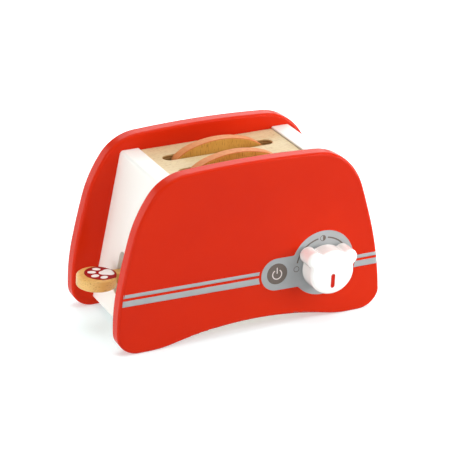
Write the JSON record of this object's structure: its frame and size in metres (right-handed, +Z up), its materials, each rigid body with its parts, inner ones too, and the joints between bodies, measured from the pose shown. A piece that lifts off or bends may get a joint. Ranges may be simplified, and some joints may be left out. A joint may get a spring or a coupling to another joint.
{
  "type": "toy toaster",
  "caption": "Wooden toy toaster with curved side panels, toast slices in a slotted top, a rocking side lever that pops them up and a turning front knob.",
  "frame": {"origin": "bottom centre of the bounding box, on the surface the feet stand on", "axes": "+X from the lever end to the other end, -Y towards the knob and dial, +Z up"},
  "size_m": [0.1991, 0.105, 0.12],
  "materials": {
    "red_lacquer": "red opaque lacquer on fibreboard, satin to glossy",
    "white_lacquer": "white opaque lacquer on fibreboard, satin",
    "top_plywood": "pale birch plywood under clear satin lacquer",
    "base_plywood": "pale plywood, bare",
    "inner_wood": "planed beech, bare",
    "dowel_wood": "turned beech dowel, bare",
    "screw_steel": "zinc-plated wood screw",
    "pin_steel": "ground steel pin",
    "nylon": "natural nylon",
    "felt": "grey wool felt",
    "lever_wood": "ochre clear-lacquered beech with a printed red disc",
    "toast_wood": "toasted ochre faces with a lighter crust edge, satin",
    "knob_lacquer": "white gloss lacquer on turned wood",
    "pointer_red": "red inlay, glossy",
    "print_grey": "cool grey screen-printing ink of the dial and stripes, satin",
    "print_taupe": "grey-brown screen-printing ink of the power mark and dial marks, satin",
    "print_light": "light grey screen-printing ink of the power mark, satin",
    "print_crimson": "crimson screen-printing ink on the lever, satin",
    "print_white": "white screen-printing ink on the lever, satin"
  },
  "bodies": {
    "root": {"front_panel": "red_lacquer", "back_panel": "red_lacquer", "left_end_panel": "white_lacquer", "right_end_panel": "white_lacquer", "top_plate": "top_plywood", "front_top_cleat": "inner_wood", "rear_top_cleat": "inner_wood", "base_board": "base_plywood", "front_base_cleat": "inner_wood", "rear_base_cleat": "inner_wood", "base_screws": "screw_steel", "front_dowels": "dowel_wood", "back_dowels": "dowel_wood", "lever_pin": "pin_steel", "front_lever_bracket": "inner_wood", "rear_lever_bracket": "inner_wood", "lever_washers": "nylon", "stop_felt": "felt", "stop_block": "inner_wood", "lifter_posts": "dowel_wood"},
    "lever_arm": {"lever": "lever_wood", "lift_crossbar": "inner_wood", "crossbar_screw": "screw_steel"},
    "lifter": {"lifter_platform": "inner_wood"},
    "toast_front": {"front_toast": "toast_wood"},
    "toast_rear": {"rear_toast": "toast_wood"},
    "knob_turning": {"knob": "knob_lacquer", "knob_pointer": "pointer_red", "knob_axle": "dowel_wood", "knob_felt_washer": "felt", "knob_retainer_washer": "nylon", "knob_retainer": "inner_wood", "knob_screw": "screw_steel"}
  },
  "joints": [
    {"name": "lever_press", "type": "hinge", "parent": "root", "child": "lever_arm", "pos_m": [-0.045, 0.0099, 0.03275], "axis": [0, -1, 0], "range_deg": [0, 10]},
    {"name": "lifter_rise", "type": "slide", "parent": "root", "child": "lifter", "axis": [0, 0, 1], "range_m": [0, 0.0093]},
    {"name": "front_toast_lift", "type": "slide", "parent": "lifter", "child": "toast_front", "axis": [0, 0, 1], "range_m": [0, 0.08]},
    {"name": "rear_toast_lift", "type": "slide", "parent": "lifter", "child": "toast_rear", "axis": [0, 0, 1], "range_m": [0, 0.08]},
    {"name": "knob_turn", "type": "hinge", "parent": "root", "child": "knob_turning", "pos_m": [0.0565, -0.038, 0.0389], "axis": [0, -1, 0], "continuous": true}
  ],
  "couplings": [
    {"joint": "lifter_rise", "follows": "lever_press", "m_per_rad": 0.05275}
  ]
}
